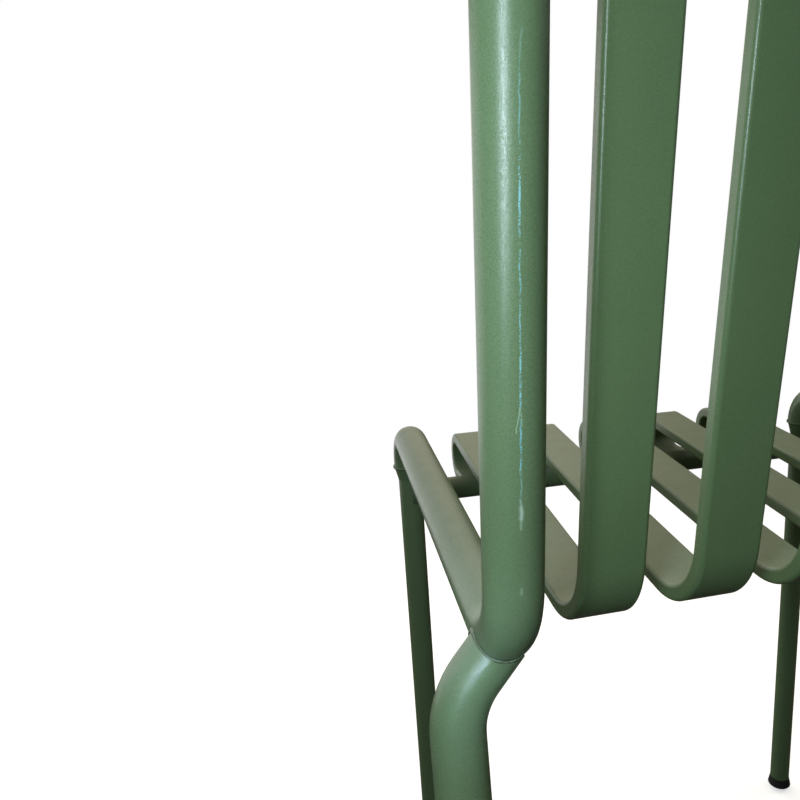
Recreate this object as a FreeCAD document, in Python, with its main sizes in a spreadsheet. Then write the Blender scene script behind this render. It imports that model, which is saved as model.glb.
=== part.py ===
import FreeCAD, Part
import math
import os
import Sketcher
from FreeCAD import Placement, Rotation, Vector

# Garden chair: welded round tubes carry five flat slats that are bent from back to seat.
# The seat's front faces -Y, the sitter's left is +X, +Z is up, and the floor is at Z = 0.

SIZES = [
    # Round tubes
    ("side_tube_diameter", 26.0),
    ("side_tube_wall", 2.0),
    ("leg_diameter", 20.0),
    ("leg_wall", 1.5),
    # Side frames: corners are where the straight centre lines would meet
    ("frame_width", 395.0),
    ("front_corner_setback", 64.8),
    ("front_corner_rise", 26.9),
    ("front_bend_radius", 27.0),
    ("leg_joint_gap", 1.5),
    ("rear_corner_setback", 419.3),
    ("rear_corner_height", 431.8),
    ("rear_bend_radius", 42.0),
    ("back_lean", 8.9),
    ("front_leg_slant", 3.2),
    ("swage_length", 12.0),
    # Hoop that closes the back at the top
    ("hoop_joint_drop", 60.0),
    ("top_rail_height", 760.0),
    ("hoop_bend_radius", 45.0),
    # Rear legs step outwards so that chairs can be stacked
    ("rear_leg_step_drop", 26.0),
    ("rear_leg_step", 23.5),
    ("rear_leg_bend_radius", 40.0),
    ("rear_foot_setback", 441.8),
    ("rear_leg_slant", 5.7),
    # Front cross rail
    ("cross_rail_gap", 1.2),
    # Slats: flat tube with round edges
    ("slat_width", 35.0),
    ("slat_thickness", 10.0),
    ("slat_edge_radius", 2.5),
    ("slat_wall", 1.5),
    ("slat_spacing", 65.6),
    ("slat_front_rise", 36.8),
    ("slat_front_radius_share", 0.46),
    ("slat_rear_inset", 59.2),
    ("slat_rear_drop", 27.9),
    ("slat_rear_radius", 45.5),
    ("slat_top_rise", 35.0),
    ("slat_top_reach", 39.5),
    ("slat_top_radius_share", 0.5),
    # Foot glides
    ("glide_height", 14.0),
    ("glide_flare", 3.0),
    ("glide_dome_radius", 16.0),
    ("rear_glide_dome_radius", 20.0),
    ("glide_wear", 0.4),
    ("glide_stem_length", 22.0),
    ("glide_stem_clearance", 0.1),
    # Welds and cutting overrun
    ("weld_size", 2.5),
    ("saddle_weld_size", 1.2),
    ("overrun", 5.0),
]
SLAT_COUNT = 5
QUARTER_TURN = 90.0
FULL_TURN = 4 * QUARTER_TURN

# Sizes that follow from the driving sizes
DERIVED = [
    ("side_x", "=frame_width / 2"),
    ("side_radius", "=side_tube_diameter / 2"),
    ("side_bore_radius", "=side_radius - side_tube_wall"),
    ("back_run", "=(top_rail_height - rear_corner_height) * tan(back_lean * 1 deg)"),
    ("front_reach", "=(rear_corner_setback + back_run + side_radius) / 2"),
    ("leg_radius", "=leg_diameter / 2"),
    ("leg_bore_radius", "=leg_radius - leg_wall"),
    ("front_corner_y", "=front_corner_setback - front_reach"),
    ("rear_corner_y", "=rear_corner_setback - front_reach"),
    ("front_corner_height", "=rear_corner_height + front_corner_rise"),
    ("rail_fall", "=atan(front_corner_rise / (rear_corner_y - front_corner_y))"),
    ("front_half_turn", "=((90 - front_leg_slant) * 1 deg + rail_fall) / 2"),
    ("leg_joint_run", "=front_bend_radius * tan(front_half_turn) + leg_joint_gap"),
    ("leg_joint_drop", "=leg_joint_run * cos(front_leg_slant * 1 deg)"),
    ("leg_joint_height", "=front_corner_height - leg_joint_drop"),
    ("leg_joint_y", "=front_corner_y - leg_joint_drop * tan(front_leg_slant * 1 deg)"),
    ("front_foot_y", "=front_corner_y - front_corner_height * tan(front_leg_slant * 1 deg)"),
    ("front_leg_length", "=leg_joint_height / cos(front_leg_slant * 1 deg)"),
    ("hoop_joint_height", "=top_rail_height - hoop_joint_drop"),
    ("hoop_joint_y", "=rear_corner_y + (hoop_joint_height - rear_corner_height) * tan(back_lean * 1 deg)"),
    ("hoop_rise", "=hoop_joint_drop / cos(back_lean * 1 deg)"),
    ("top_rail_y", "=rear_corner_y + back_run"),
    ("rear_foot_y", "=rear_foot_setback - front_reach"),
    ("rail_height_over_foot", "=rear_corner_height - (rear_foot_y - rear_corner_y) * tan(rail_fall)"),
    ("rear_leg_top_share", "=1 / (1 - tan(rear_leg_slant * 1 deg) * tan(rail_fall))"),
    ("rear_leg_length", "=rail_height_over_foot * rear_leg_top_share / cos(rear_leg_slant * 1 deg)"),
    ("rear_leg_step_length", "=rear_leg_length - rear_leg_step_drop / cos(rear_leg_slant * 1 deg)"),
    ("leg_bead_radius", "=leg_radius + weld_size"),
    ("cross_rail_drop", "=swage_length * cos(front_leg_slant * 1 deg) + leg_bead_radius + cross_rail_gap"),
    ("cross_rail_height", "=leg_joint_height - cross_rail_drop"),
    ("cross_rail_y", "=front_foot_y + cross_rail_height * tan(front_leg_slant * 1 deg)"),
    ("slat_front_y", "=slat_thickness / 2 - front_reach"),
    ("slat_front_height", "=cross_rail_height + slat_front_rise"),
    ("slat_front_radius", "=slat_front_rise * slat_front_radius_share"),
    ("slat_rear_y", "=rear_corner_y - slat_rear_inset"),
    ("slat_rear_height", "=rear_corner_height - slat_rear_drop"),
    ("slat_top_y", "=top_rail_y - slat_top_reach"),
    ("slat_top_height", "=top_rail_height + slat_top_rise"),
    ("slat_top_radius", "=slat_top_reach * slat_top_radius_share"),
    ("glide_radius", "=leg_radius + glide_flare"),
    ("rear_glide_radius", "=side_radius + glide_flare"),
    ("side_x_mirrored", "=-side_x"),
    ("rear_leg_step_mirrored", "=-rear_leg_step"),
    ("swage_start", "=front_leg_length - swage_length"),
    ("slat_bore_width", "=slat_width - 2 * slat_wall"),
    ("slat_bore_thickness", "=slat_thickness - 2 * slat_wall"),
    ("slat_bore_edge_radius", "=slat_edge_radius - slat_wall"),
    ("front_stem_radius", "=leg_bore_radius - glide_stem_clearance"),
    ("rear_stem_radius", "=side_bore_radius - glide_stem_clearance"),
    ("front_dome_height", "=(glide_dome_radius - glide_wear) / cos(front_leg_slant * 1 deg)"),
    ("rear_dome_height", "=(rear_glide_dome_radius - glide_wear) / cos(rear_leg_slant * 1 deg)"),
    ("side_bead_radius", "=side_radius + weld_size"),
    ("saddle_bead_radius", "=side_radius + saddle_weld_size"),
    ("crown_radius", "=weld_size / 2"),
    ("end_block_length", "=side_bead_radius + overrun"),
    ("floor_half_width", "=side_x + rear_leg_step + rear_glide_radius + overrun"),
    ("floor_half_depth", "=front_reach + overrun"),
]

doc = FreeCAD.newDocument("garden_chair")
sheet = doc.addObject("Spreadsheet::Sheet", "Sizes")
for row, (alias, value) in enumerate(SIZES + DERIVED, start=1):
    sheet.set("A%d" % row, alias)
    sheet.set("B%d" % row, str(value))
    sheet.setAlias("B%d" % row, alias)
doc.recompute()


def size(alias):
    """Value of one named size, as a plain number."""
    value = sheet.get(alias)
    return float(getattr(value, "Value", value))


def bind(thing, prop, formula):
    """Tie one property to the sizes sheet."""
    thing.setExpression(prop, formula)


def origin_plane(body, role):
    """One of the body's own origin planes."""
    return [plane for plane in body.Origin.OriginFeatures if plane.Role == role][0]


def flat_sketch(body, name, role):
    """Empty sketch on one of the body's own origin planes."""
    sketch = body.newObject("Sketcher::SketchObject", name)
    sketch.AttachmentSupport = [(origin_plane(body, role), "")]
    sketch.MapMode = "FlatFace"
    return sketch


def hold(sketch, geo, point, corner):
    """Tie one sketch point to its two named coordinates, with None for zero."""
    for kind, axis, alias in (("DistanceX", -2, corner[0]), ("DistanceY", -1, corner[1])):
        if alias is None:
            sketch.addConstraint(Sketcher.Constraint("PointOnObject", geo, point, axis))
        else:
            index = sketch.addConstraint(Sketcher.Constraint(kind, -1, 1, geo, point, size(alias)))
            bind(sketch, "Constraints[%d]" % index, "Sizes." + alias)


def value_of(corner):
    """Sketch position of a corner given by two size names, with None for zero."""
    return Vector(*[0.0 if name is None else size(name) for name in corner], 0.0)


def bent_path(sketch, corners, radii):
    """Straight runs through named corners, joined by tangent arcs of named radii."""
    spots = [value_of(corner) for corner in corners]
    runs = [[spots[0]]]
    bends = []
    for before, corner, after, radius in zip(spots, spots[1:], spots[2:], radii):
        back = (before - corner).normalize()
        ahead = (after - corner).normalize()
        half = back.getAngle(ahead) / 2
        middle = Vector(back + ahead).normalize()
        centre = corner + middle * (size(radius) / math.sin(half))
        reach = size(radius) / math.tan(half)
        tangents = [corner + back * reach, corner + ahead * reach]
        turns_left = back.cross(ahead).z < 0
        bends.append((centre, size(radius), tangents, turns_left))
        runs[-1].append(tangents[0])
        runs.append([tangents[1]])
    runs[-1].append(spots[-1])
    for index, run in enumerate(runs):
        sketch.addGeometry(Part.LineSegment(*run), False)
        if index < len(bends):
            centre, radius, tangents, turns_left = bends[index]
            rays = [tangent - centre for tangent in (tangents if turns_left else tangents[::-1])]
            angles = [math.atan2(ray.y, ray.x) for ray in rays]
            sweep = (angles[1] - angles[0]) % (2 * math.pi)
            circle = Part.Circle(centre, Vector(0, 0, 1), radius)
            sketch.addGeometry(Part.ArcOfCircle(circle, angles[0], angles[0] + sweep), False)
    hold(sketch, 0, 1, corners[0])
    hold(sketch, 2 * len(radii), 2, corners[-1])
    for index, radius in enumerate(radii):
        line, arc, next_line = 2 * index, 2 * index + 1, 2 * index + 2
        near, far = (1, 2) if bends[index][3] else (2, 1)
        sketch.addConstraint(Sketcher.Constraint("Tangent", line, 2, arc, near))
        sketch.addConstraint(Sketcher.Constraint("Tangent", arc, far, next_line, 1))
        held = sketch.addConstraint(Sketcher.Constraint("Radius", arc, size(radius)))
        bind(sketch, "Constraints[%d]" % held, "Sizes." + radius)
        mark = sketch.addGeometry(Part.Point(spots[index + 1]), True)
        hold(sketch, mark, 1, corners[index + 1])
        sketch.addConstraint(Sketcher.Constraint("PointOnObject", mark, 1, line))
        sketch.addConstraint(Sketcher.Constraint("PointOnObject", mark, 1, next_line))
    sketch.solve()


def ring_profile(body, path, outer, bore):
    """Tube section at the start of a path; without a bore it is a solid rod."""
    sketch = body.newObject("Sketcher::SketchObject", body.Name + "_section")
    sketch.AttachmentSupport = [(path, "Edge1")]
    sketch.MapMode = "NormalToEdge"
    for radius in (outer, bore):
        if radius is None:
            continue
        circle = sketch.addGeometry(Part.Circle(Vector(0, 0, 0), Vector(0, 0, 1), size(radius)), False)
        sketch.addConstraint(Sketcher.Constraint("Coincident", circle, 3, -1, 1))
        held = sketch.addConstraint(Sketcher.Constraint("Radius", circle, size(radius)))
        bind(sketch, "Constraints[%d]" % held, "Sizes." + radius)
    return sketch


def bent_tube(name, role, corners, radii, outer, bore):
    """Body of one bent tube: a path on an origin plane and a ring swept along it."""
    body = doc.addObject("PartDesign::Body", name)
    path = flat_sketch(body, name + "_path", role)
    bent_path(path, corners, radii)
    doc.recompute()
    section = ring_profile(body, path, outer, bore)
    pipe = body.newObject("PartDesign::AdditivePipe", name + "_sweep")
    pipe.Profile = section
    pipe.Spine = (path, ["Edge%d" % (index + 1) for index in range(2 * len(radii) + 1)])
    doc.recompute()
    return body


def turned(name, profile):
    """Body turned about its own Z axis from straight edges through named radius and height."""
    body = doc.addObject("PartDesign::Body", name)
    sketch = flat_sketch(body, name + "_profile", "XZ_Plane")
    spots = [value_of(corner) for corner in profile]
    for first, last in zip(spots, spots[1:] + spots[:1]):
        sketch.addGeometry(Part.LineSegment(first, last), False)
    for index, corner in enumerate(profile):
        following = (index + 1) % len(profile)
        sketch.addConstraint(Sketcher.Constraint("Coincident", index, 2, following, 1))
        hold(sketch, index, 1, corner)
    spin = body.newObject("PartDesign::Revolution", name + "_turn")
    spin.Profile = sketch
    spin.ReferenceAxis = (sketch, ["V_Axis"])
    spin.Angle = FULL_TURN
    doc.recompute()
    return body


def rounded_box(sketch, width, thickness, radius):
    """Rectangle with round corners, centred on the sketch's origin."""
    half_w, half_t, corner = size(width) / 2, size(thickness) / 2, size(radius)
    inner_w, inner_t = half_w - corner, half_t - corner
    first = sketch.GeometryCount
    sides = [
        (Vector(-inner_w, -half_t, 0), Vector(inner_w, -half_t, 0)),
        (Vector(half_w, -inner_t, 0), Vector(half_w, inner_t, 0)),
        (Vector(inner_w, half_t, 0), Vector(-inner_w, half_t, 0)),
        (Vector(-half_w, inner_t, 0), Vector(-half_w, -inner_t, 0)),
    ]
    for index, side in enumerate(sides):
        sketch.addGeometry(Part.LineSegment(*side), False)
        following = sides[(index + 1) % len(sides)]
        centre = Vector(math.copysign(inner_w, following[0].x + side[1].x), 0, 0)
        centre.y = math.copysign(inner_t, following[0].y + side[1].y)
        outward = (side[1] + following[0]) / 2 - centre
        middle = centre + outward.normalize() * corner
        sketch.addGeometry(Part.Arc(side[1], middle, following[0]), False)
    for index in range(len(sides)):
        line = first + 2 * index
        arc = line + 1
        following = first + (2 * index + 2) % (2 * len(sides))
        sketch.addConstraint(Sketcher.Constraint("Tangent", line, 2, arc, 1))
        sketch.addConstraint(Sketcher.Constraint("Tangent", arc, 2, following, 1))
        sketch.addConstraint(Sketcher.Constraint("Vertical" if index % 2 else "Horizontal", line))
        if index:
            sketch.addConstraint(Sketcher.Constraint("Equal", first + 1, arc))
    sketch.addConstraint(Sketcher.Constraint("Symmetric", first, 1, first + 4, 1, -1, 1))
    for rule, alias in (
        (("Radius", first + 1, corner), radius),
        (("DistanceX", first + 6, 1, first + 2, 1, 2 * half_w), width),
        (("DistanceY", first, 1, first + 4, 1, 2 * half_t), thickness),
    ):
        index = sketch.addConstraint(Sketcher.Constraint(*rule))
        bind(sketch, "Constraints[%d]" % index, "Sizes." + alias)
    sketch.solve()


def sketch_circle(sketch, corner, radius):
    """Circle at a named corner with a named radius."""
    circle = sketch.addGeometry(Part.Circle(value_of(corner), Vector(0, 0, 1), size(radius)), False)
    held = sketch.addConstraint(Sketcher.Constraint("Radius", circle, size(radius)))
    bind(sketch, "Constraints[%d]" % held, "Sizes." + radius)
    return circle


def slat_body(name):
    """One bent slat, hollow, with both ends cut to sit on their round rails."""
    body = doc.addObject("PartDesign::Body", name)
    path = flat_sketch(body, name + "_path", "YZ_Plane")
    corners = [
        ("cross_rail_y", "cross_rail_height"),
        ("slat_front_y", "cross_rail_height"),
        ("slat_front_y", "slat_front_height"),
        ("slat_rear_y", "slat_rear_height"),
        ("slat_top_y", "slat_top_height"),
        ("top_rail_y", "slat_top_height"),
        ("top_rail_y", "top_rail_height"),
    ]
    radii = ["slat_front_radius"] * 2 + ["slat_rear_radius"] + ["slat_top_radius"] * 2
    bent_path(path, corners, radii)
    doc.recompute()
    section = body.newObject("Sketcher::SketchObject", name + "_section")
    section.AttachmentSupport = [(path, "Edge1")]
    section.MapMode = "NormalToEdge"
    rounded_box(section, "slat_width", "slat_thickness", "slat_edge_radius")
    rounded_box(section, "slat_bore_width", "slat_bore_thickness", "slat_bore_edge_radius")
    pipe = body.newObject("PartDesign::AdditivePipe", name + "_sweep")
    pipe.Profile = section
    pipe.Spine = (path, ["Edge%d" % (index + 1) for index in range(2 * len(radii) + 1)])
    doc.recompute()
    whole = body.Shape.Volume
    seats = flat_sketch(body, name + "_seats", "YZ_Plane")
    for corner, radius in ((corners[0], "leg_radius"), (corners[-1], "side_radius")):
        circle = sketch_circle(seats, corner, radius)
        hold(seats, circle, 3, corner)
    pocket = body.newObject("PartDesign::Pocket", name + "_seat_cut")
    pocket.Profile = seats
    pocket.Type = "ThroughAll"
    pocket.Midplane = True
    doc.recompute()
    if body.Shape.Volume >= whole:
        raise RuntimeError(name + ": the seats at its ends were not cut")
    return body


def solid(kind, name, sizes, x="0", y="0", z="0", turn=None):
    """Part primitive with its sizes and its place tied to the sheet."""
    thing = doc.addObject("Part::" + kind, name)
    for prop, formula in sizes.items():
        bind(thing, prop, formula)
    settle(thing, x, y, z, turn)
    return thing


def settle(thing, x="0", y="0", z="0", turn=None):
    """Put a piece at a place given by formulas, turned about one axis by a formula."""
    if turn is not None:
        axis, angle = turn
        thing.Placement = Placement(Vector(0, 0, 0), Rotation(axis, QUARTER_TURN))
        bind(thing, "Placement.Rotation.Angle", angle)
    for axis_name, formula in (("x", x), ("y", y), ("z", z)):
        if formula != "0":
            bind(thing, "Placement.Base." + axis_name, formula)
    return thing


def combine(kind, name, pieces):
    """Boolean of whole objects."""
    thing = doc.addObject("Part::" + kind, name)
    if kind in ("Cut", "Common", "Fuse"):
        thing.Base, thing.Tool = pieces
    elif kind == "Compound":
        thing.Links = pieces
    else:
        thing.Shapes = pieces
    return thing


X_AXIS = Vector(1, 0, 0)
Y_AXIS = Vector(0, 1, 0)
FRONT_SLANT = (X_AXIS * -1, "Sizes.front_leg_slant * 1 deg")
REAR_SLANT = (X_AXIS, "Sizes.rear_leg_slant * 1 deg")
LEAN = (X_AXIS * -1, "Sizes.back_lean * 1 deg")
SIDES = (("left", "Sizes.side_x", ""), ("right", "-Sizes.side_x", "_mirrored"))
nodes = []

# Side tubes: seat rail and back upright in one bent tube each
SIDE_CORNERS = [
    ("leg_joint_y", "leg_joint_height"),
    ("front_corner_y", "front_corner_height"),
    ("rear_corner_y", "rear_corner_height"),
    ("hoop_joint_y", "hoop_joint_height"),
]
SIDE_RADII = ["front_bend_radius", "rear_bend_radius"]


def side_run(name, side_place, outer, bore):
    """The run of a side tube, as a tube or a solid rod of the given radius."""
    return settle(bent_tube(name, "YZ_Plane", SIDE_CORNERS, SIDE_RADII, outer, bore), x=side_place)


side_envelope = {}
for side, side_place, mirrored in SIDES:
    nodes.append(side_run(side + "_side_tube", side_place, "side_radius", "side_bore_radius"))
    side_envelope[side] = side_run(side + "_side_envelope", side_place, "side_radius", None)

# Hoop: the top rail with a round corner at each end
hoop = bent_tube(
    "back_top_rail",
    "XZ_Plane",
    [("side_x_mirrored", None), ("side_x_mirrored", "hoop_rise"), ("side_x", "hoop_rise"), ("side_x", None)],
    ["hoop_bend_radius", "hoop_bend_radius"],
    "side_radius",
    "side_bore_radius",
)
settle(hoop, y="Sizes.hoop_joint_y", z="Sizes.hoop_joint_height", turn=LEAN)
nodes.append(hoop)

# Front legs: thin tubes swaged up at the top to the size of the side tubes
FRONT_LEG_PROFILE = [
    ("leg_radius", "glide_height"),
    ("leg_radius", "swage_start"),
    ("side_radius", "front_leg_length"),
    ("side_bore_radius", "front_leg_length"),
    ("leg_bore_radius", "swage_start"),
    ("leg_bore_radius", "glide_height"),
]


def leg_rod(name, side_place, radius):
    """Solid rod of the given radius along the thin part of a front leg."""
    sizes = {"Radius": "Sizes." + radius, "Height": "Sizes.swage_start"}
    return solid("Cylinder", name, sizes, side_place, "Sizes.front_foot_y", turn=FRONT_SLANT)


front_rod = {}
for side, side_place, mirrored in SIDES:
    leg = turned("front_leg_" + side, FRONT_LEG_PROFILE)
    nodes.append(settle(leg, x=side_place, y="Sizes.front_foot_y", turn=FRONT_SLANT))
    front_rod[side] = leg_rod("front_rod_" + side, side_place, "leg_radius")

# Rear legs: step outwards under the rear corner, then run down and back
rear_envelope = {}
rear_bead_core = {}
for side, side_place, mirrored in SIDES:
    step = "rear_leg_step" + mirrored
    corners = [(None, "rear_leg_length"), (step, "rear_leg_step_length"), (step, "glide_height")]
    tubes = []
    for label, outer, bore in (
        ("_tube", "side_radius", "side_bore_radius"),
        ("_envelope", "side_radius", None),
        ("_bead_core", "saddle_bead_radius", None),
    ):
        name = "rear_leg_" + side + label
        tube = bent_tube(name, "XZ_Plane", corners, ["rear_leg_bend_radius"], outer, bore)
        tubes.append(settle(tube, x=side_place, y="Sizes.rear_foot_y", turn=REAR_SLANT))
    nodes.append(combine("Cut", "rear_leg_" + side, (tubes[0], side_envelope[side])))
    rear_envelope[side] = tubes[1]
    rear_bead_core[side] = tubes[2]

# Front cross rail between the front legs, its ends cut to fit them
ALONG_X = (Y_AXIS, "%g deg" % QUARTER_TURN)


def across_rod(name, radius, y, z):
    """Solid rod of the given radius from one side frame to the other."""
    sizes = {"Radius": "Sizes." + radius, "Height": "Sizes.frame_width"}
    return solid("Cylinder", name, sizes, "-Sizes.side_x", "Sizes." + y, "Sizes." + z, turn=ALONG_X)


rail_rod = across_rod("cross_rail_rod", "leg_radius", "cross_rail_y", "cross_rail_height")
rail_bore = across_rod("cross_rail_bore", "leg_bore_radius", "cross_rail_y", "cross_rail_height")
rail_tube = combine("Cut", "cross_rail_tube", (rail_rod, rail_bore))
front_rods = combine("Compound", "front_rods", [front_rod["left"], front_rod["right"]])
nodes.append(combine("Cut", "front_cross_rail", (rail_tube, front_rods)))

# Slats, numbered from the sitter's left
slat_places = []
for index in range(SLAT_COUNT):
    slat_place = "Sizes.slat_spacing * %g" % ((SLAT_COUNT - 1) / 2 - index)
    slat_places.append(slat_place)
    nodes.append(settle(slat_body("slat_%d" % (index + 1)), x=slat_place))

# Foot glides: a flared, domed plug with a stem in the end of each leg, worn flat on the floor
floor_block = solid(
    "Box",
    "floor_block",
    {
        "Length": "2 * Sizes.floor_half_width",
        "Width": "2 * Sizes.floor_half_depth",
        "Height": "Sizes.overrun",
    },
    x="-Sizes.floor_half_width",
    y="-Sizes.floor_half_depth",
    z="-Sizes.overrun",
)
for row, foot_y, slant, shoulder, tread, stem, dome, centre, step in (
    ("front", "front_foot_y", FRONT_SLANT, "leg_radius", "glide_radius", "front_stem_radius",
     "glide_dome_radius", "front_dome_height", ""),
    ("rear", "rear_foot_y", REAR_SLANT, "side_radius", "rear_glide_radius", "rear_stem_radius",
     "rear_glide_dome_radius", "rear_dome_height", "rear_leg_step"),
):
    for side, side_place, mirrored in SIDES:
        name = "glide_%s_%s" % (row, side)
        foot_x = side_place + (" + Sizes." + step + mirrored if step else "")
        flare = {"Radius1": "Sizes." + tread, "Radius2": "Sizes." + shoulder}
        cone = solid("Cone", name + "_tread", {"Height": "Sizes.glide_height", **flare})
        ball = solid("Sphere", name + "_dome", {"Radius": "Sizes." + dome}, z="Sizes." + centre)
        domed = combine("Common", name + "_domed", (cone, ball))
        pin_sizes = {"Radius": "Sizes." + stem, "Height": "Sizes.glide_stem_length"}
        pin = solid("Cylinder", name + "_stem", pin_sizes, z="Sizes.glide_height")
        plug = combine("Fuse", name + "_plug", (domed, pin))
        settle(plug, x=foot_x, y="Sizes." + foot_y, turn=slant)
        nodes.append(combine("Cut", name, (plug, floor_block)))

# Weld beads round the saddle joints: the zone near both pieces that neither piece fills
for side, side_place, mirrored in SIDES:
    near_tube = side_run(side + "_side_bead_core", side_place, "saddle_bead_radius", None)
    near_both = combine("Common", "rear_weld_zone_" + side, (near_tube, rear_bead_core[side]))
    filled = combine("MultiFuse", "rear_weld_filled_" + side, [side_envelope[side], rear_envelope[side]])
    nodes.append(combine("Cut", "weld_rear_leg_" + side, (near_both, filled)))

rail_bead_rod = across_rod("cross_rail_bead_rod", "leg_bead_radius", "cross_rail_y", "cross_rail_height")
leg_bead_rods = []
for side, side_place, mirrored in SIDES:
    leg_bead_rods.append(leg_rod("leg_bead_rod_" + side, side_place, "leg_bead_radius"))
near_legs = combine("Compound", "leg_bead_rods", leg_bead_rods)
rail_weld_zone = combine("Common", "rail_weld_zone", (rail_bead_rod, near_legs))
rail_weld_filled = combine("MultiFuse", "rail_weld_filled", [rail_rod, front_rod["left"], front_rod["right"]])
nodes.append(combine("Cut", "welds_cross_rail", (rail_weld_zone, rail_weld_filled)))

# Weld beads at the slat ends, on the cross rail and on the top rail
top_rod = across_rod("top_rail_rod", "side_radius", "top_rail_y", "top_rail_height")
top_bead_rod = across_rod("top_rail_bead_rod", "side_bead_radius", "top_rail_y", "top_rail_height")


def slat_end_block(name, slat_place, upright, grow):
    """Block round one straight end of a slat, wider and thicker by twice the formula given."""
    thick = "Sizes.slat_thickness + 2 * " + grow
    long = "Sizes.end_block_length"
    sizes = {
        "Length": "Sizes.slat_width + 2 * " + grow,
        "Width": thick if upright else long,
        "Height": long if upright else thick,
    }
    x = slat_place + " - Sizes.slat_width / 2 - " + grow
    outset = " - Sizes.slat_thickness / 2 - " + grow
    if upright:
        return solid("Box", name, sizes, x, "Sizes.top_rail_y" + outset, "Sizes.top_rail_height")
    return solid("Box", name, sizes, x, "Sizes.cross_rail_y - " + long, "Sizes.cross_rail_height" + outset)


for name, rod, bead_rod, upright in (
    ("welds_slat_fronts", rail_rod, rail_bead_rod, False),
    ("welds_slat_tops", top_rod, top_bead_rod, True),
):
    ends = []
    bead_ends = []
    for index, slat_place in enumerate(slat_places):
        tag = "%s_%d" % (name, index + 1)
        ends.append(slat_end_block(tag + "_end", slat_place, upright, "0"))
        bead_ends.append(slat_end_block(tag + "_bead_end", slat_place, upright, "Sizes.weld_size"))
    zone = combine("Common", name + "_zone", (bead_rod, combine("Compound", name + "_bead_ends", bead_ends)))
    filled = combine("MultiFuse", name + "_filled", [rod] + ends)
    nodes.append(combine("Cut", name, (zone, filled)))

# Weld crowns round the butt joints of equal tubes
for name, y, z, turn in (
    ("welds_front_legs", "Sizes.leg_joint_y", "Sizes.leg_joint_height", FRONT_SLANT),
    ("welds_hoop", "Sizes.hoop_joint_y", "Sizes.hoop_joint_height", LEAN),
):
    rings = []
    for side, side_place, mirrored in SIDES:
        band = {"Radius1": "Sizes.side_radius", "Radius2": "Sizes.crown_radius"}
        ring = solid("Torus", "%s_ring_%s" % (name, side), band)
        plain = {"Radius": "Sizes.side_radius", "Height": "2 * Sizes.crown_radius"}
        core = solid("Cylinder", "%s_core_%s" % (name, side), plain, z="-Sizes.crown_radius")
        crown = combine("Cut", "%s_crown_%s" % (name, side), (ring, core))
        rings.append(settle(crown, x=side_place, y=y, z=z, turn=turn))
    nodes.append(combine("Compound", name, rings))

doc.recompute()

# Every piece is checked before any file is written
for thing in doc.Objects:
    if "Invalid" in thing.State or "Error" in thing.State:
        raise RuntimeError(thing.Name + " failed: " + str(thing.State))
for node in nodes:
    node.Label = node.Name
    shape = node.Shape
    if shape.isNull() or not shape.isValid() or not shape.Solids:
        raise RuntimeError(node.Name + " has no valid solid")

os.makedirs("parts", exist_ok=True)
for node in nodes:
    node.Shape.exportStep(os.path.join("parts", node.Name + ".step"))
    print(node.Name, len(node.Shape.Solids), round(node.Shape.Volume, 1))
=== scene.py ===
import math

import bpy
from mathutils import Matrix, Vector


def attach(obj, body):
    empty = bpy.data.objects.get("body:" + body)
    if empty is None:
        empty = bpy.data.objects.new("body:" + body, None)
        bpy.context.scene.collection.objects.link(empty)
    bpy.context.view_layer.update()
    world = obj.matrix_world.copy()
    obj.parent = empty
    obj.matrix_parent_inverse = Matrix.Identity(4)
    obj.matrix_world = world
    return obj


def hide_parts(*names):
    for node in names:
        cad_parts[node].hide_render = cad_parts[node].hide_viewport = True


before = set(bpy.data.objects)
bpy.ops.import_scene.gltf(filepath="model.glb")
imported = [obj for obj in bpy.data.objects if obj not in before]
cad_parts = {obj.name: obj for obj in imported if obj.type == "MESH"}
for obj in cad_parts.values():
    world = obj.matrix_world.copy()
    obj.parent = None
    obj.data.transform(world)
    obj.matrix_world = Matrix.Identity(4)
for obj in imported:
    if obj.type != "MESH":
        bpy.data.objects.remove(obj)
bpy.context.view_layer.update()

# The view: the chair is seen from behind and above, past its left upright.
# The left upright stands closest to the lens and the top of the back is out of view.
# The camera's place, turns and lens were solved from edges of the chair.
EYE = Vector((0.26655, 0.46457, 0.6009))
YAW, PITCH, ROLL = (math.radians(angle) for angle in (13.61, 10.81, 2.90))
FRAME_PIXELS = 800.0
FOCAL_PIXELS = 750.34
CENTRE_ACROSS, CENTRE_DOWN = 501.85, 406.33
SENSOR_MM = 36.0

camera = bpy.data.objects.new("view_camera", bpy.data.cameras.new("view_camera"))
bpy.context.scene.collection.objects.link(camera)
bpy.context.scene.camera = camera
camera.data.sensor_fit = "HORIZONTAL"
camera.data.sensor_width = SENSOR_MM
camera.data.lens = FOCAL_PIXELS / FRAME_PIXELS * SENSOR_MM
camera.data.shift_x = 0.5 - CENTRE_ACROSS / FRAME_PIXELS
camera.data.shift_y = CENTRE_DOWN / FRAME_PIXELS - 0.5
ahead = Vector((
    -math.sin(YAW) * math.cos(PITCH),
    -math.cos(YAW) * math.cos(PITCH),
    -math.sin(PITCH),
))
level_right = Vector((-math.cos(YAW), math.sin(YAW), 0.0))
level_down = ahead.cross(level_right)
right = math.cos(ROLL) * level_right + math.sin(ROLL) * level_down
down = -math.sin(ROLL) * level_right + math.cos(ROLL) * level_down
camera.matrix_world = Matrix.Translation(EYE) @ Matrix((right, -down, -ahead)).transposed().to_4x4()


# Floor and backdrop: one wide sheet of matt white studio card, which keeps the chair's soft shadow.
# The lens sees it pale by the feet and plain white further out.
# To the chair it is dim, so that little light comes up from below.
def linear(code):
    """Linear colour of an sRGB hex code."""
    parts = [int(code[i:i + 2], 16) / 255 for i in (0, 2, 4)]
    return [p / 12.92 if p <= 0.04045 else ((p + 0.055) / 1.055) ** 2.4 for p in parts] + [1.0]


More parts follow.
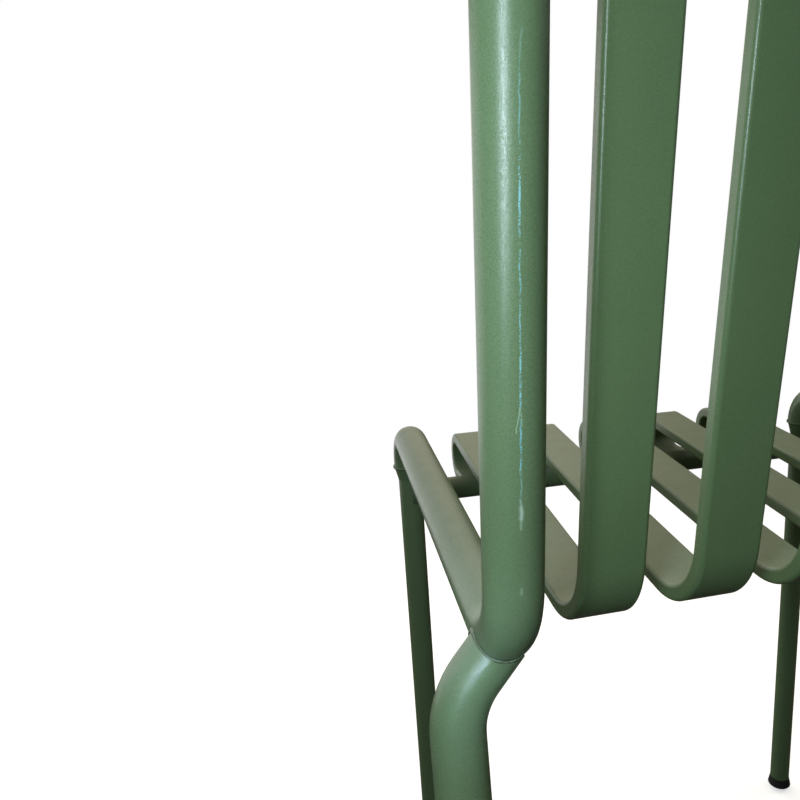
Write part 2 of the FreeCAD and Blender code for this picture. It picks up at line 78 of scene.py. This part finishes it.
def add(tree, kind, feeds=None, **settings):
    """Add a node with its settings. Each feed is a value, a socket, or a node for its first output."""
    node = tree.nodes.new(kind)
    for name, value in settings.items():
        setattr(node, name, value)
    for name, value in (feeds or {}).items():
        if isinstance(value, bpy.types.Node):
            value = value.outputs[0]
        if isinstance(value, bpy.types.NodeSocket):
            tree.links.new(value, node.inputs[name])
        else:
            node.inputs[name].default_value = value
    return node


def bare_material(name):
    """New material without nodes, and its node tree."""
    material = bpy.data.materials.new(name)
    material.use_nodes = True
    material.node_tree.nodes.clear()
    return material, material.node_tree


FLOOR_WIDTH = 30.0
CARD_TO_CHAIR, CARD_TO_LENS, WHITE = "4A4945", "F2F2F0", "FFFFFF"
CARD_GLOW = 0.55
FADE_START, FADE_END = 0.7, 1.6

bpy.ops.mesh.primitive_plane_add(size=FLOOR_WIDTH, location=(0.0, 0.0, 0.0))
floor = bpy.context.object
floor.name = "studio_floor"
white_floor, tree = bare_material("white studio floor")
seen = add(tree, "ShaderNodeLightPath")
dim_card = add(tree, "ShaderNodeBsdfDiffuse", {"Color": linear(CARD_TO_CHAIR)})
pale_card = add(tree, "ShaderNodeBsdfDiffuse", {"Color": linear(CARD_TO_LENS)})
glow = add(tree, "ShaderNodeEmission", {"Color": linear(WHITE), "Strength": CARD_GLOW})
lit_card = add(tree, "ShaderNodeAddShader", {0: pale_card, 1: glow})
plain_white = add(tree, "ShaderNodeEmission", {"Color": linear(WHITE), "Strength": 1.0})
place = add(tree, "ShaderNodeTexCoord").outputs["Object"]
reach = add(tree, "ShaderNodeVectorMath", {0: place}, operation="LENGTH").outputs["Value"]
far = add(tree, "ShaderNodeMapRange", {"Value": reach, "From Min": FADE_START, "From Max": FADE_END})
faded = add(tree, "ShaderNodeMixShader", {0: far, 1: lit_card, 2: plain_white})
card = add(tree, "ShaderNodeMixShader", {0: seen.outputs["Is Camera Ray"], 1: dim_card, 2: faded})
add(tree, "ShaderNodeOutputMaterial", {"Surface": card})
floor.data.materials.append(white_floor)

# World: the studio's ceiling, a weak warm light that comes only from well above the chair.
# The lens sees plain white in its place.
CEILING_TINT = "FFF5E2"
CEILING_STRENGTH = 0.60
CEILING_START, CEILING_FULL = 0.3, 0.9

world = bpy.data.worlds.new("pale studio")
bpy.context.scene.world = world
world.use_nodes = True
tree = world.node_tree
tree.nodes.clear()
seen = add(tree, "ShaderNodeLightPath")
direction = add(tree, "ShaderNodeSeparateXYZ", {0: add(tree, "ShaderNodeTexCoord").outputs["Generated"]})
overhead = add(tree, "ShaderNodeMapRange", {
    "Value": direction.outputs["Z"],
    "From Min": CEILING_START,
    "From Max": CEILING_FULL,
    "To Min": 0.0,
    "To Max": CEILING_STRENGTH,
})
ceiling = add(tree, "ShaderNodeBackground", {"Color": linear(CEILING_TINT), "Strength": overhead})
plain_white = add(tree, "ShaderNodeBackground", {"Color": linear(WHITE), "Strength": 1.0})
sky = add(tree, "ShaderNodeMixShader", {0: seen.outputs["Is Camera Ray"], 1: ceiling, 2: plain_white})
add(tree, "ShaderNodeOutputWorld", {"Surface": sky})


# Lamps: small softboxes close behind the chair on its left, and large ones further off.
# The small ones give the long highlight on the upright and the bright patch on the rear leg.
# The large ones light the left sides, the back, the right side and the seat.
def softbox(name, place, aim, width, watts, tint=WHITE, height=None, beam=180.0):
    """Area lamp at a place, facing a point. It is square without a height, and its beam is in degrees."""
    lamp = bpy.data.lights.new(name, "AREA")
    lamp.shape = "RECTANGLE"
    lamp.size = width
    lamp.size_y = height or width
    lamp.energy = watts
    lamp.color = linear(tint)[:3]
    lamp.spread = math.radians(beam)
    stand = bpy.data.objects.new(name, lamp)
    bpy.context.scene.collection.objects.link(stand)
    stand.location = place
    stand.rotation_euler = (Vector(aim) - Vector(place)).to_track_quat("-Z", "Y").to_euler()
    stand.visible_camera = False


# Each lamp: name, place, point that it faces, width in metres, watts
softbox("key_softbox", (0.345, 0.45, 0.63), (0.16, 0.18, 0.59), 0.060, 1.29, "DDF0FF", height=0.17)
softbox("low_softbox", (0.405, 0.46, 0.54), (0.21, 0.16, 0.42), 0.03, 0.21, "D8EAFF")
softbox("leg_softbox", (0.31, 0.45, 0.50), (0.212, 0.17, 0.428), 0.03, 0.008, "C4DEFF",
        height=0.08, beam=15.0)
softbox("side_softbox", (1.1, -1.15, 0.60), (0.15, 0.1, 0.5), 2.0, 10.2, height=1.14)
softbox("back_softbox", (0.7, 2.2, 1.3), (0.0, 0.0, 0.45), 1.2, 0.8)
softbox("fill_softbox", (-1.6, -0.3, 1.5), (0.0, 0.0, 0.45), 1.2, 6.0)
softbox("front_softbox", (-0.2, -2.0, 1.4), (0.0, 0.0, 0.4), 1.4, 9.4, "FFF4E4")

# The pale grey laid on what faces up is partly that dust and partly painted sheen, light from above painted
# into the colour.
# Tube frame: round steel tube, bent and welded, then sprayed with polyester powder and baked.
# Baked powder is satin, faintly dimpled like orange peel, and holds dust where it faces up.
# Its grains are far finer and lower than drawn here: at true size they would not show in the render.
CLOUD_MM = 70.0
PEEL_MM, PEEL_HEIGHT_MM = 1.4, 0.010
GRAIN_MM, GRAIN_HEIGHT_MM = 0.55, 0.034
DUST_AND_SHEEN_PATCH_MM = 18.0
RUBBED_SPECK_MM, SPECK_GROUP_MM = 10.5, 33.0
# The first tint is dust mixed with painted sheen on what faces up. The second is rubbed coat.
DUST_AND_SHEEN_TINT, RUBBED_TINT = "A7AC9F", "B9C4B8"
PALE_SHARE = 0.16
RUBBED_SHARE = 0.35
ROUGHNESS_LOW, ROUGHNESS_HIGH, DUST_ROUGHNESS = 0.31, 0.38, 0.5
GLINT_LOW, GLINT_HIGH = 0.18, 0.72
POLYESTER_IOR = 1.5


def powder_coat(name, greens, dust_and_sheen=0.35, wear=None):
    """Satin powder coat: two greens that drift, a paler one in its grain, dust mixed with painted sheen on
    what faces up, and small rubbed specks.
    """
    material, tree = bare_material(name)
    place = add(tree, "ShaderNodeTexCoord").outputs["Object"]

    # Drifting green with pale dimples. Here and below, From Min and From Max are the noise values
    # between which a pattern comes in.
    cloud = add(tree, "ShaderNodeTexNoise",
                {"Vector": place, "Scale": 1000.0 / CLOUD_MM, "Detail": 3.0, "Roughness": 0.55})
    peel = add(tree, "ShaderNodeTexNoise",
               {"Vector": place, "Scale": 1000.0 / PEEL_MM, "Detail": 2.0, "Roughness": 0.6})
    drift = add(tree, "ShaderNodeMixRGB", {0: cloud, 1: linear(greens[0]), 2: linear(greens[1])})
    pale = add(tree, "ShaderNodeMapRange",
               {"Value": peel, "From Min": 0.35, "From Max": 0.75, "To Min": 0.0, "To Max": PALE_SHARE})
    green = add(tree, "ShaderNodeMixRGB", {0: pale, 1: drift, 2: linear(greens[2])})

    # Dust in patches on what faces up, together with painted sheen: the grey there also stands in for light
    # falling from above
    facing = add(tree, "ShaderNodeNewGeometry").outputs["Normal"]
    up = add(tree, "ShaderNodeSeparateXYZ", {0: facing}).outputs["Z"]
    upward_dust_and_sheen = add(tree, "ShaderNodeMapRange",
                  {"Value": up, "From Min": 0.25, "From Max": 0.95, "To Min": 0.0, "To Max": dust_and_sheen},
                  interpolation_type="SMOOTHSTEP")
    patch = add(tree, "ShaderNodeTexNoise",
                {"Vector": place, "Scale": 1000.0 / DUST_AND_SHEEN_PATCH_MM, "Detail": 5.0, "Roughness": 0.6})
    patchy = add(tree, "ShaderNodeMapRange",
                 {"Value": patch, "From Min": 0.3, "From Max": 0.7, "To Min": 0.55, "To Max": 1.0})
    dust_and_sheen_film = add(tree, "ShaderNodeMath", {0: upward_dust_and_sheen, 1: patchy}, operation="MULTIPLY")
    dusty_and_sheened = add(tree, "ShaderNodeMixRGB", {0: dust_and_sheen_film, 1: green, 2: linear(DUST_AND_SHEEN_TINT)})

    # Small rubbed specks, in groups
    speck = add(tree, "ShaderNodeTexVoronoi",
                {"Vector": place, "Scale": 1000.0 / RUBBED_SPECK_MM, "Randomness": 1.0})
    group = add(tree, "ShaderNodeTexNoise",
                {"Vector": place, "Scale": 1000.0 / SPECK_GROUP_MM, "Detail": 2.0})
    speck_size = add(tree, "ShaderNodeMapRange",
                     {"Value": group, "From Min": 0.60, "From Max": 0.74, "To Min": 0.0, "To Max": 0.075})
    rubbed = add(tree, "ShaderNodeMath", {0: speck, 1: speck_size}, operation="LESS_THAN")
    rubbed_part = add(tree, "ShaderNodeMath", {0: rubbed, 1: RUBBED_SHARE}, operation="MULTIPLY")
    colour = add(tree, "ShaderNodeMixRGB", {0: rubbed_part, 1: dusty_and_sheened, 2: linear(RUBBED_TINT)})

    # Satin gloss, duller under dust, broken up by the dimples and the grains
    satin = add(tree, "ShaderNodeMapRange", {"Value": cloud, "From Min": 0.3, "From Max": 0.7,
                                             "To Min": ROUGHNESS_LOW, "To Max": ROUGHNESS_HIGH})
    rough = add(tree, "ShaderNodeMath", {0: dust_and_sheen_film, 1: DUST_ROUGHNESS, 2: satin}, operation="MULTIPLY_ADD")
    dimpled = add(tree, "ShaderNodeBump",
                  {"Height": peel, "Strength": 1.0, "Distance": PEEL_HEIGHT_MM / 1000.0})
    grain = add(tree, "ShaderNodeTexNoise",
                {"Vector": place, "Scale": 1000.0 / GRAIN_MM, "Detail": 1.0, "Roughness": 0.5})
    grainy = add(tree, "ShaderNodeBump", {"Height": grain, "Strength": 1.0,
                                          "Distance": GRAIN_HEIGHT_MM / 1000.0, "Normal": dimpled})
    glint = add(tree, "ShaderNodeMapRange", {"Value": grain, "From Min": 0.36, "From Max": 0.66,
                                             "To Min": GLINT_LOW, "To Max": GLINT_HIGH})
    if wear is not None:
        colour, rough = wear(tree, place, colour, rough)
    coat = add(tree, "ShaderNodeBsdfPrincipled", {
        "Base Color": colour,
        "Roughness": rough,
        "Normal": grainy,
        "IOR": POLYESTER_IOR,
        "Specular IOR Level": glint,
    })
    add(tree, "ShaderNodeOutputMaterial", {"Surface": coat})
    return material


def dress(node_names, material):
    """Give CAD pieces one finish."""
    for name in node_names:
        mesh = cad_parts[name].data
        mesh.materials.clear()
        mesh.materials.append(material)


TUBE_GREENS = ("627854", "586E4C", "819572")
tube_coat = powder_coat("sage green powder coat on tube", TUBE_GREENS)
dress(["right_side_tube", "back_top_rail", "front_leg_left", "front_leg_right", "rear_leg_left",
       "rear_leg_right", "front_cross_rail"], tube_coat)

# Left side tube: the same coated tube, with rub marks down the back of its upright.
# They are a thin chafed line of pale specks, a forked scratch, a smear and a dab.
# A mark is placed in mm: across, round the tube from its back, and up from the tube's rear bend.
UPRIGHT_FOOT = (0.1975, 0.17745, 0.4318)
UP_THE_TUBE = (0.0, 0.15471, 0.98796)
FACING_BACK = (0.25901, 0.95425, -0.14943)
FACING_RIGHT = (-0.96588, 0.25589, -0.04007)
UPRIGHT_RADIUS_MM = 13.0
WANDER_MM, WANDER_WIDTH_MM = 6.25, 1.1
CHAFE_MM, CHAFE_PATCH_MM, CHAFE_PATCH_SHARE = 0.5, 14.3, 0.55
SPECK_CORE, SOFT_EDGE = 0.5, 1.4
MARK_ROUGHNESS = 0.15
# Each mark: start, end and half width in mm, colour, strength, and whether it is broken into specks
RUB_MARKS = (
    ((4.0, 244.0), (3.1, 236.0), 0.35, "8FB3A6", 0.30, False),
    ((3.0, 236.0), (3.0, 208.0), 0.28, "7DB0AC", 0.65, True),
    ((3.0, 208.0), (3.0, 182.0), 0.36, "86BFC0", 0.90, True),
    ((3.0, 182.0), (3.1, 140.0), 0.30, "80B8B8", 0.80, True),
    ((3.1, 140.0), (3.1, 122.0), 0.36, "86BFC0", 0.90, True),
    ((3.1, 122.0), (3.2, 97.0), 0.36, "7FBABC", 0.85, True),
    ((3.2, 97.0), (3.2, 84.0), 0.35, "86B5AE", 0.60, True),
    ((3.2, 84.0), (3.2, 72.0), 0.55, "A9BFA8", 0.45, False),
    ((3.25, 81.0), (3.2, 76.5), 0.95, "B4C7B2", 0.55, False),
    ((3.3, 45.5), (3.3, 43.0), 0.60, "A3B99F", 0.60, False),
    ((3.0, 121.0), (1.3, 111.5), 0.24, "A4BE9B", 0.80, False),
    ((3.1, 121.0), (3.8, 114.0), 0.18, "A4BE9B", 0.55, False),
)


def streak(tree, spot, start, end, half_width, core):
    """Mask of a stroke from start to end in mm, full in the core's share of its half width."""
    run = (end[0] - start[0], end[1] - start[1], 0.0)
    from_start = add(tree, "ShaderNodeVectorMath", {0: spot, 1: (*start, 0.0)}, operation="SUBTRACT")
    along = add(tree, "ShaderNodeVectorMath", {0: from_start, 1: run}, operation="DOT_PRODUCT")
    share = add(tree, "ShaderNodeMath", {0: along.outputs["Value"], 1: run[0] ** 2 + run[1] ** 2},
                operation="DIVIDE")
    held = add(tree, "ShaderNodeClamp", {"Value": share})
    nearest = add(tree, "ShaderNodeVectorMath", {0: run, "Scale": held}, operation="SCALE")
    apart = add(tree, "ShaderNodeVectorMath", {0: from_start, 1: nearest}, operation="SUBTRACT")
    away = add(tree, "ShaderNodeVectorMath", {0: apart}, operation="LENGTH").outputs["Value"]
    return add(tree, "ShaderNodeMapRange", {"Value": away, "From Min": core * half_width,
                                            "From Max": SOFT_EDGE * half_width, "To Min": 1.0, "To Max": 0.0})


def rub_marks(tree, place, colour, rough):
    """Lay the upright's rub marks over the coat's colour and roughness."""
    from_foot = add(tree, "ShaderNodeVectorMath", {0: place, 1: UPRIGHT_FOOT}, operation="SUBTRACT")
    rightward, backward, upward = (
        add(tree, "ShaderNodeVectorMath", {0: from_foot, 1: way}, operation="DOT_PRODUCT").outputs["Value"]
        for way in (FACING_RIGHT, FACING_BACK, UP_THE_TUBE)
    )
    turn = add(tree, "ShaderNodeMath", {0: rightward, 1: backward}, operation="ARCTAN2")
    rise = add(tree, "ShaderNodeMath", {0: upward, 1: 1000.0}, operation="MULTIPLY")
    wander = add(tree, "ShaderNodeTexNoise", {"W": rise, "Scale": 1.0 / WANDER_MM, "Detail": 3.0},
                 noise_dimensions="1D")
    shift = add(tree, "ShaderNodeMath", {0: wander, 1: WANDER_WIDTH_MM, 2: -WANDER_WIDTH_MM / 2},
                operation="MULTIPLY_ADD")
    across = add(tree, "ShaderNodeMath", {0: turn, 1: UPRIGHT_RADIUS_MM, 2: shift}, operation="MULTIPLY_ADD")
    spot = add(tree, "ShaderNodeCombineXYZ", {0: across, 1: rise})

    # The chafed line is broken into specks, which come and go along it
    chafe = add(tree, "ShaderNodeTexNoise", {"Vector": place, "Scale": 1000.0 / CHAFE_MM, "Detail": 1.0})
    chafe_patch = add(tree, "ShaderNodeTexNoise", {"W": rise, "Scale": 1.0 / CHAFE_PATCH_MM, "Detail": 2.0},
                      noise_dimensions="1D")
    worn = add(tree, "ShaderNodeMath", {0: chafe_patch, 1: CHAFE_PATCH_SHARE, 2: chafe},
               operation="MULTIPLY_ADD")
    specks = add(tree, "ShaderNodeMapRange", {"Value": worn, "From Min": 0.70, "From Max": 0.84})
    for start, end, half_width, tint, strength, in_specks in RUB_MARKS:
        mask = streak(tree, spot, start, end, half_width, SPECK_CORE if in_specks else 0.0)
        if in_specks:
            mask = add(tree, "ShaderNodeMath", {0: mask, 1: specks}, operation="MULTIPLY")
        part = add(tree, "ShaderNodeMath", {0: mask, 1: strength}, operation="MULTIPLY")
        colour = add(tree, "ShaderNodeMixRGB", {0: part, 1: colour, 2: linear(tint)})
        rough = add(tree, "ShaderNodeMath", {0: part, 1: MARK_ROUGHNESS, 2: rough}, operation="MULTIPLY_ADD")
    return colour, rough


marked_coat = powder_coat("sage green powder coat, rubbed", TUBE_GREENS, wear=rub_marks)
dress(["left_side_tube"], marked_coat)

# Slats: flat steel tube bent over the top rail, down the back and along the seat, and welded at its ends.
# The coat is the same as on the round tubes. Its greens are set mostly a little lighter than the tube's, as
# painted light on the slats, and it holds more dust mixed with painted sheen.
SLAT_GREENS_PAINTED_LIGHTER = ("657C53", "59714A", "7F926D")
slat_coat_painted_lighter = powder_coat("sage green powder coat on slat", SLAT_GREENS_PAINTED_LIGHTER, dust_and_sheen=0.42)
dress(["slat_%d" % number for number in range(1, 6)], slat_coat_painted_lighter)

# Welds: short steel beads laid by hand in each joint and sprayed over with the same powder.
# Each bead is melted soft at its edges and ripples where the weld pool set, step by step.
# Their greens are darker than the tube's: painted shade for the crease at each joint, on what is really the
# same powder.
WELD_GREENS_PAINTED_SHADE = ("526546", "485A3D", "6A7B5D")
weld_coat_painted_shade = powder_coat("sage green powder coat on weld", WELD_GREENS_PAINTED_SHADE)
MELT_FACTOR = 0.5
# Bead sizes in metres, the unit of the mesh
SKIN_CELL = 0.0004
RIPPLE_PITCH, RIPPLE_HEIGHT = 0.0017, 0.00016
BEAD_RING_RADIUS = 0.0120
# Each bead: its node, the axis that it runs round on each side (or none, along X), and steps of melting
BEADS = (
    ("weld_rear_leg_left", (-0.664, 0.0, 0.748), 14),
    ("weld_rear_leg_right", (0.664, 0.0, 0.748), 14),
    ("welds_cross_rail", (1.0, 0.0, 0.0), 4),
    ("welds_front_legs", (0.0, 0.0, 1.0), 12),
    ("welds_hoop", (0.0, 0.0, 1.0), 12),
    ("welds_slat_fronts", None, 4),
    ("welds_slat_tops", None, 4),
)


def melted_mesh(bead, melt_steps):
    """Mesh of a bead with an even skin and melted edges."""
    skin = bead.modifiers.new("even skin", "REMESH")
    skin.mode = "VOXEL"
    skin.voxel_size = SKIN_CELL
    melt = bead.modifiers.new("melted edges", "SMOOTH")
    melt.factor = MELT_FACTOR
    melt.iterations = melt_steps
    bpy.context.view_layer.update()
    mesh = bpy.data.meshes.new_from_object(bead.evaluated_get(bpy.context.evaluated_depsgraph_get()))
    bead.modifiers.clear()
    return mesh


def ripple(mesh, axis):
    """Push a bead's skin in and out along its run."""
    pushes = {}
    for on_left in (True, False):
        side = [vertex for vertex in mesh.vertices if (vertex.co.x > 0) == on_left]
        if not side:
            continue
        centre = sum((vertex.co for vertex in side), Vector()) / len(side)
        turn_back = Vector(axis).rotation_difference(Vector((0.0, 0.0, 1.0))) if axis else None
        for vertex in side:
            if axis is None:
                travel = vertex.co.x
            else:
                arm = turn_back @ (vertex.co - centre)
                travel = math.atan2(arm.y, arm.x) * BEAD_RING_RADIUS
            wave = abs(math.sin(math.pi * travel / RIPPLE_PITCH))
            pushes[vertex.index] = vertex.normal * (RIPPLE_HEIGHT * (0.5 - wave))
    for index, push in pushes.items():
        mesh.vertices[index].co += push


for name, axis, melt_steps in BEADS:
    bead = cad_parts[name].copy()
    bead.name = name + "_laid"
    bpy.context.scene.collection.objects.link(bead)
    bead.data = melted_mesh(bead, melt_steps)
    ripple(bead.data, axis)
    for face in bead.data.polygons:
        face.use_smooth = True
    bead.data.materials.clear()
    bead.data.materials.append(weld_coat_painted_shade)
    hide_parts(name)
    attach(bead, "root")

# Foot glides: moulded dark polyethylene plugs, pushed into the ends of the legs.
# They are dull, faintly textured from the mould, and scuffed pale where they drag on paving.
PLASTIC, SCUFFED_PLASTIC = "1F211E", "5C5D58"
SCUFF_MM, SCUFF_TOP_MM, SCUFF_SHARE = 8.0, 5.0, 0.75
MOULD_MM, MOULD_HEIGHT_MM = 0.7, 0.03
PLASTIC_ROUGHNESS = 0.55
POLYETHYLENE_IOR = 1.5

glide_plastic, tree = bare_material("moulded dark polyethylene")
place = add(tree, "ShaderNodeTexCoord").outputs["Object"]
height = add(tree, "ShaderNodeSeparateXYZ", {0: place}).outputs["Z"]
low = add(tree, "ShaderNodeMapRange", {"Value": height, "From Min": 0.0, "From Max": SCUFF_TOP_MM / 1000.0,
                                       "To Min": SCUFF_SHARE, "To Max": 0.0})
scratch = add(tree, "ShaderNodeTexNoise", {"Vector": place, "Scale": 1000.0 / SCUFF_MM, "Detail": 4.0})
scuffed = add(tree, "ShaderNodeMath", {0: low, 1: scratch}, operation="MULTIPLY")
colour = add(tree, "ShaderNodeMixRGB", {0: scuffed, 1: linear(PLASTIC), 2: linear(SCUFFED_PLASTIC)})
texture = add(tree, "ShaderNodeTexNoise", {"Vector": place, "Scale": 1000.0 / MOULD_MM, "Detail": 2.0})
bump = add(tree, "ShaderNodeBump",
           {"Height": texture, "Strength": 1.0, "Distance": MOULD_HEIGHT_MM / 1000.0})
moulded = add(tree, "ShaderNodeBsdfPrincipled", {
    "Base Color": colour,
    "Roughness": PLASTIC_ROUGHNESS,
    "Normal": bump,
    "IOR": POLYETHYLENE_IOR,
})
add(tree, "ShaderNodeOutputMaterial", {"Surface": moulded})
dress([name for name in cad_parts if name.startswith("glide")], glide_plastic)

bpy.context.scene.view_settings.view_transform = "Standard"
